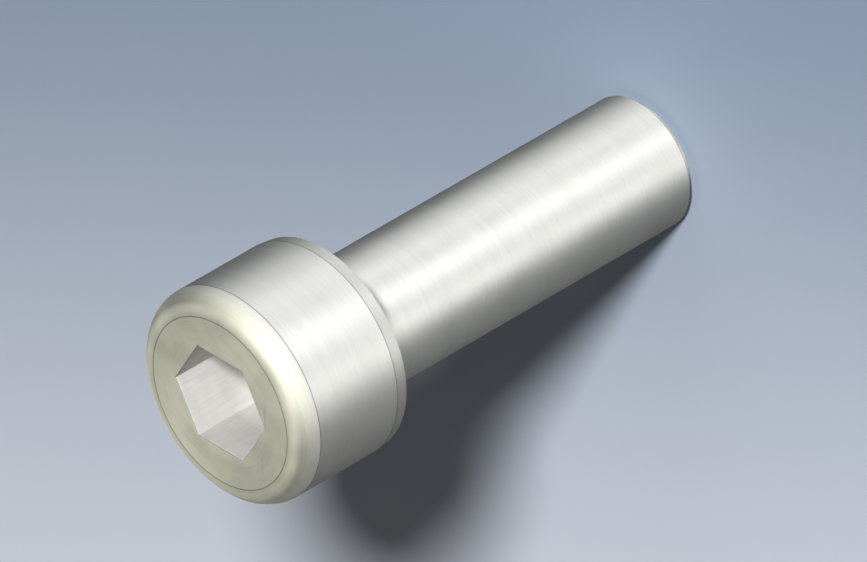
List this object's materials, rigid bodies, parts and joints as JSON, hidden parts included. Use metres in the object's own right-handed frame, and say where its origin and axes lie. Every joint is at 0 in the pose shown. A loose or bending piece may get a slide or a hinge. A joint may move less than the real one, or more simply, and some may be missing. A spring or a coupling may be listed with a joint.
{
  "type": "socket head cap screw",
  "caption": "Steel screw with a round head, a hexagon socket for a key and a plain round shank. It clamps one part onto another.",
  "frame": {"origin": "centre of the flat bearing face under the head, on the screw's axis", "axes": "+Z along the screw's axis from the bearing face to the socket's mouth; the shank runs along -Z; two opposite corners of the hexagon lie on X, so two of its flats face along Y"},
  "size_m": [0.013, 0.013, 0.033],
  "materials": {
    "steel": "satin, finely turned, pale warm grey"
  },
  "bodies": {
    "root": {"cap_screw": "steel"}
  },
  "joints": []
}
